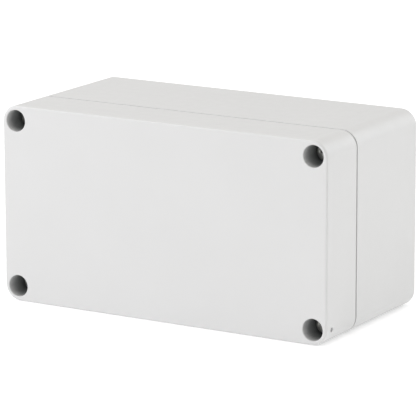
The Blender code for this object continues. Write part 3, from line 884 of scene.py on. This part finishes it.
def make_insert(corner):
    name = "thread_insert_" + corner
    low, high = node_box(name)
    at = node_centre(name)
    middle = (low.z + high.z) / 2

    def change(angle, radius, height):
        if abs(radius - INSERT_BORE) < SAME:
            return INSERT_THREAD_DEPTH * thread_form(angle, height, SCREW_PITCH)
        if abs(radius - INSERT_RADIUS) < SAME:
            return -KNURL_DEPTH * (0.5 + 0.5 * math.cos(angle * KNURLS))
        return 0.0

    section = [
        (INSERT_RADIUS - 0.25, high.z),
        (INSERT_RADIUS, high.z - 0.3),
        (INSERT_RADIUS, middle + 0.6),
        (INSERT_RADIUS - INSERT_WAIST, middle + 0.3),
        (INSERT_RADIUS - INSERT_WAIST, middle - 0.3),
        (INSERT_RADIUS, middle - 0.6),
        (INSERT_RADIUS, low.z + 0.3),
        (INSERT_RADIUS - 0.25, low.z),
        *reversed(thread_rows(INSERT_BORE, high.z, low.z, SCREW_PITCH)),
    ]
    insert = turned(section, at, 96, change)
    finish_piece(insert, "fine_" + name, "base", name, "brass", (at.x, at.y, high.z))


# Rail and terminals


def make_rail():
    low, high = node_box("terminal_rail")
    wall = RAIL_CHANNEL / 2
    half = [
        (wall, low.z, OUTER_BEND),
        (wall, high.z - RAIL_THICKNESS, INNER_BEND),
        (high.y, high.z - RAIL_THICKNESS, RAIL_EDGE),
        (high.y, high.z, RAIL_EDGE),
        (wall - RAIL_THICKNESS, high.z, OUTER_BEND),
        (wall - RAIL_THICKNESS, low.z + RAIL_THICKNESS, INNER_BEND),
    ]
    outline = half + [(-y, z, r) for y, z, r in reversed(half)]
    rail = prism(rounded(outline), low.x, high.x, along_x=True)
    reach = (SLOT_LENGTH - SLOT_WIDTH) / 2
    end = arc((reach, 0), SLOT_WIDTH / 2, -90, 90, 16)
    slot = end + [(-x, -y) for x, y in end]
    for x in RAIL_SLOTS:
        cutter = prism(slot, low.z - 1, low.z + 2)
        cutter.data.transform(Matrix.Translation((x, 0, 0)))
        cut(rail, cutter)
    soften(rail, 0.08, 2, 60)
    finish_piece(rail, "fine_terminal_rail", "base", "terminal_rail", "rail_zinc")


def make_rail_screw(name):
    low, high = node_box(name)
    at = node_centre(name)
    radius = high.x - at.x
    under = high.z - RAIL_SCREW_HEAD
    start = under - 0.3
    end = low.z + RAIL_SCREW_POINT
    dome = []
    for degrees in range(10, 90, 10):
        t = math.radians(degrees)
        dome.append((radius * math.sin(t), under + RAIL_SCREW_HEAD * math.cos(t)))
    profile = [
        (0, high.z),
        *dome,
        (radius, under),
        (RAIL_SCREW_RADIUS + 0.15, under),
        *thread_rows(RAIL_SCREW_RADIUS, start, end, RAIL_SCREW_PITCH),
        (0.3, low.z),
        (0, low.z),
    ]
    groove = thread(RAIL_SCREW_RADIUS, start, end, RAIL_SCREW_PITCH, RAIL_SCREW_THREAD_DEPTH)
    screw = turned(profile, at, 40, groove)
    cut(screw, cross_recess(RAIL_CROSS_REACH, RAIL_CROSS_WIDTH, under + 0.7, high.z + 1, at))
    finish_piece(screw, "fine_" + name, "base", name, "screw_steel", (at.x, at.y, high.z))


def foot_outline(node):
    """Outline in (y, z) of a piece that clips on the rail, with its corners rounded."""
    _, high = node_box(node)
    _, rail = node_box("terminal_rail")
    foot = rail.z + TOUCH_GAP
    flange = rail.z - RAIL_THICKNESS - TOUCH_GAP
    edge = rail.y + TOUCH_GAP
    claw = edge + 1.6
    shoulder = high.z - SHOULDER_DROP
    half = [
        (edge, foot, 0),
        (edge, flange, 0),
        (edge - 1.3, flange, 0.15),
        (edge - 1.0, flange - 1.2, 0.3),
        (claw, flange - 1.2, 0.6),
        (claw, foot + 2.0, 0.6),
        (high.y, foot + 5.6, 1.0),
        (high.y, shoulder - 1.8, 0.6),
        (high.y - 1.4, shoulder, 0.6),
        (3.6, shoulder, 0.3),
        (3.0, high.z, 0.3),
    ]
    return rounded(half + [(-y, z, r) for y, z, r in reversed(half)], 4)


def make_terminal(name):
    node = "terminal_" + name
    low, high = node_box(node)
    bar_low, bar_high = node_box("current_bar_" + name)
    middle = (bar_low.x + bar_high.x) / 2
    bar_back = bar_high.z - BAR_THICKNESS
    inner = low.x + TERMINAL_WALL
    outer = high.x + 1
    ledge = inner + 1.0
    housing = prism(foot_outline(node), low.x, high.x, along_x=True)
    cut(housing, box((ledge, -CLAMP_Y, bar_back - 0.2), (outer, CLAMP_Y, bar_high.z + 0.2)))
    for level, side in SIDES.items():
        cut_clamp_room(housing, f"{name}_{level}", side, middle, inner, outer)
        cut_openings(housing, f"{name}_{level}", side, middle, high, bar_back - WIRE_BELOW_BAR)
    field_low = (low.x + MARKER_DEPTH, -MARKER_HALF, high.z - MARKER_DEPTH)
    cut(housing, box(field_low, (high.x - MARKER_DEPTH, MARKER_HALF, high.z + 1)))
    if name == "earth":
        foot = node_box("terminal_rail")[1].z + TOUCH_GAP
        leg = EARTH_LEG_HALF + 0.3
        cut(housing, box((ledge, -leg, foot - 2), (outer, leg, bar_back)))
        plate = EARTH_FOOT_HALF + 0.3
        cut(housing, box((ledge, -plate, foot - 2), (outer, plate, foot + EARTH_FOOT_THICKNESS + 0.2)))
    soften(housing, MOULDED_EDGE, 2, MOULDED_ANGLE)
    slot = {"neutral": "terminal_blue", "earth": "terminal_green"}.get(name, "terminal_grey")
    finish_piece(housing, "fine_" + node, "base", node, slot)


def cut_clamp_room(housing, clamp, side, middle, inner, outer):
    """Room for a clamp's yoke and for its screw's head."""
    screw_low, screw_high = node_box("clamp_screw_" + clamp)
    yoke_low, yoke_high = node_box("clamp_yoke_" + clamp)
    head_back = screw_high.z - CLAMP_HEAD
    room_low = (inner, yoke_low.y - 0.4, yoke_low.z - 0.3)
    cut(housing, box(room_low, (outer, yoke_high.y + 0.4, head_back - 0.15)))
    head = (screw_high.x - screw_low.x) / 2 + 0.15
    cut(housing, cylinder(head, head_back - 1, screw_high.z + 0.15, (middle, side * CLAMP_Y)))


def cut_openings(housing, clamp, side, middle, high, wire):
    """The hole for the driver, from the front, and the funnel for the wire, from the side."""
    _, screw_high = node_box("clamp_screw_" + clamp)
    shoulder = high.z - SHOULDER_DROP
    end = screw_high.z - ACCESS_END
    access = [
        (0, shoulder + 1),
        (ACCESS_RADIUS + 2 * ACCESS_LIP, shoulder + 1),
        (ACCESS_RADIUS + ACCESS_LIP, shoulder),
        (ACCESS_RADIUS, shoulder - ACCESS_LIP),
        (ACCESS_RADIUS, end),
        (0, end),
    ]
    cut(housing, turned(access, (middle, side * CLAMP_Y)))
    inner, mouth = FUNNEL_RADII
    funnel = cylinder(inner, 0, FUNNEL_LENGTH, top_radius=mouth)
    funnel.data.transform(Matrix.Rotation(-side * math.pi / 2, 4, "X"))
    funnel.data.transform(Matrix.Translation((middle, side * (high.y - FUNNEL_DEPTH), wire)))
    cut(housing, funnel)


def make_current_bar(name):
    node = "current_bar_" + name
    low, high = node_box(node)
    back = high.z - BAR_THICKNESS
    bar = box((low.x, low.y, back), high)
    if name == "earth":
        foot_top = low.z + EARTH_FOOT_THICKNESS
        leg = box((low.x, -EARTH_LEG_HALF, low.z), (high.x, EARTH_LEG_HALF, back + 0.5))
        foot = box((low.x, -EARTH_FOOT_HALF, low.z), (high.x, EARTH_FOOT_HALF, foot_top))
        join(bar, leg, foot)
    else:
        cut(bar, cylinder(BAR_HOLE, back - 1, high.z + 1, ((low.x + high.x) / 2, 0), 32))
    soften(bar, 0.15)
    finish_piece(bar, "fine_" + node, "base", node, "tinned_copper")


def make_yoke(node):
    low, high = node_box(node)
    centre = node_centre(node)
    side = Vector((YOKE_SIDE, -1, YOKE_FLOOR))
    yoke = box(low, high)
    cut(yoke, box(low + side, (high.x - YOKE_SIDE, high.y + 1, high.z - YOKE_ROOF)))
    cut(yoke, cylinder(CLAMP_SCREW_RADIUS + 0.12, high.z - YOKE_ROOF - 1, high.z + 1, centre))
    soften(yoke, 0.18, 3)
    left = low.x + YOKE_SIDE + 0.1
    right = high.x - YOKE_SIDE - 0.1
    floor = low.z + YOKE_FLOOR
    for y in YOKE_GROOVES:
        groove_low = (left, centre.y + y - YOKE_GROOVE_HALF, floor - YOKE_GROOVE_HALF)
        cut(yoke, box(groove_low, (right, centre.y + y + YOKE_GROOVE_HALF, floor + 0.5)))
    finish_piece(yoke, "fine_" + node, node, node, "yoke_steel")


def make_clamp_screw(node):
    low, high = node_box(node)
    at = node_centre(node)
    radius = high.x - at.x
    under = high.z - CLAMP_HEAD
    start = under - 0.3
    end = low.z + 0.4
    profile = [
        (0, high.z),
        *arc((radius - CLAMP_HEAD_ROUND, high.z - CLAMP_HEAD_ROUND), CLAMP_HEAD_ROUND, 90, 0, 4),
        (radius, under),
        (CLAMP_SCREW_RADIUS + 0.1, under),
        *thread_rows(CLAMP_SCREW_RADIUS, start, end, CLAMP_PITCH),
        (CLAMP_SCREW_RADIUS - 0.4, low.z),
        (0, low.z),
    ]
    screw = turned(profile, at, 32, thread(CLAMP_SCREW_RADIUS, start, end, CLAMP_PITCH, CLAMP_THREAD_DEPTH))
    slot_low = (at.x - radius - 1, at.y - CLAMP_SLOT_HALF, high.z - CLAMP_SLOT_DEPTH)
    cut(screw, box(slot_low, (at.x + radius + 1, at.y + CLAMP_SLOT_HALF, high.z + 1)))
    finish_piece(screw, "fine_" + node, node, node, "screw_steel", (at.x, at.y, high.z))


def make_clip_piece(node):
    """An end stop, or the end plate, which is too thin for the same rounding."""
    low, high = node_box(node)
    piece = prism(foot_outline(node), low.x, high.x, along_x=True)
    edge = 0.25 if high.x - low.x > 3 else MOULDED_EDGE
    soften(piece, edge, 2, MOULDED_ANGLE)
    finish_piece(piece, "fine_" + node, "base", node, "terminal_grey")


def main():
    bpy.context.scene.view_settings.view_transform = "Standard"
    low, high = CAD_BOX
    centre = (low + high) / 2
    make_camera(centre)
    make_light(centre)
    make_floor(low.z)
    make_base()
    make_lid()
    make_gasket()
    for corner in CORNERS:
        make_lid_screw(corner)
        make_lid_washer(corner)
        make_insert(corner)
    make_rail()
    for name in ("rail_screw_left", "rail_screw_right"):
        make_rail_screw(name)
    for name in TERMINALS:
        make_terminal(name)
        make_current_bar(name)
        for level in SIDES:
            make_yoke(f"clamp_yoke_{name}_{level}")
            make_clamp_screw(f"clamp_screw_{name}_{level}")
    for name in ("end_stop_left", "end_stop_right", "terminal_end_plate"):
        make_clip_piece(name)


main()
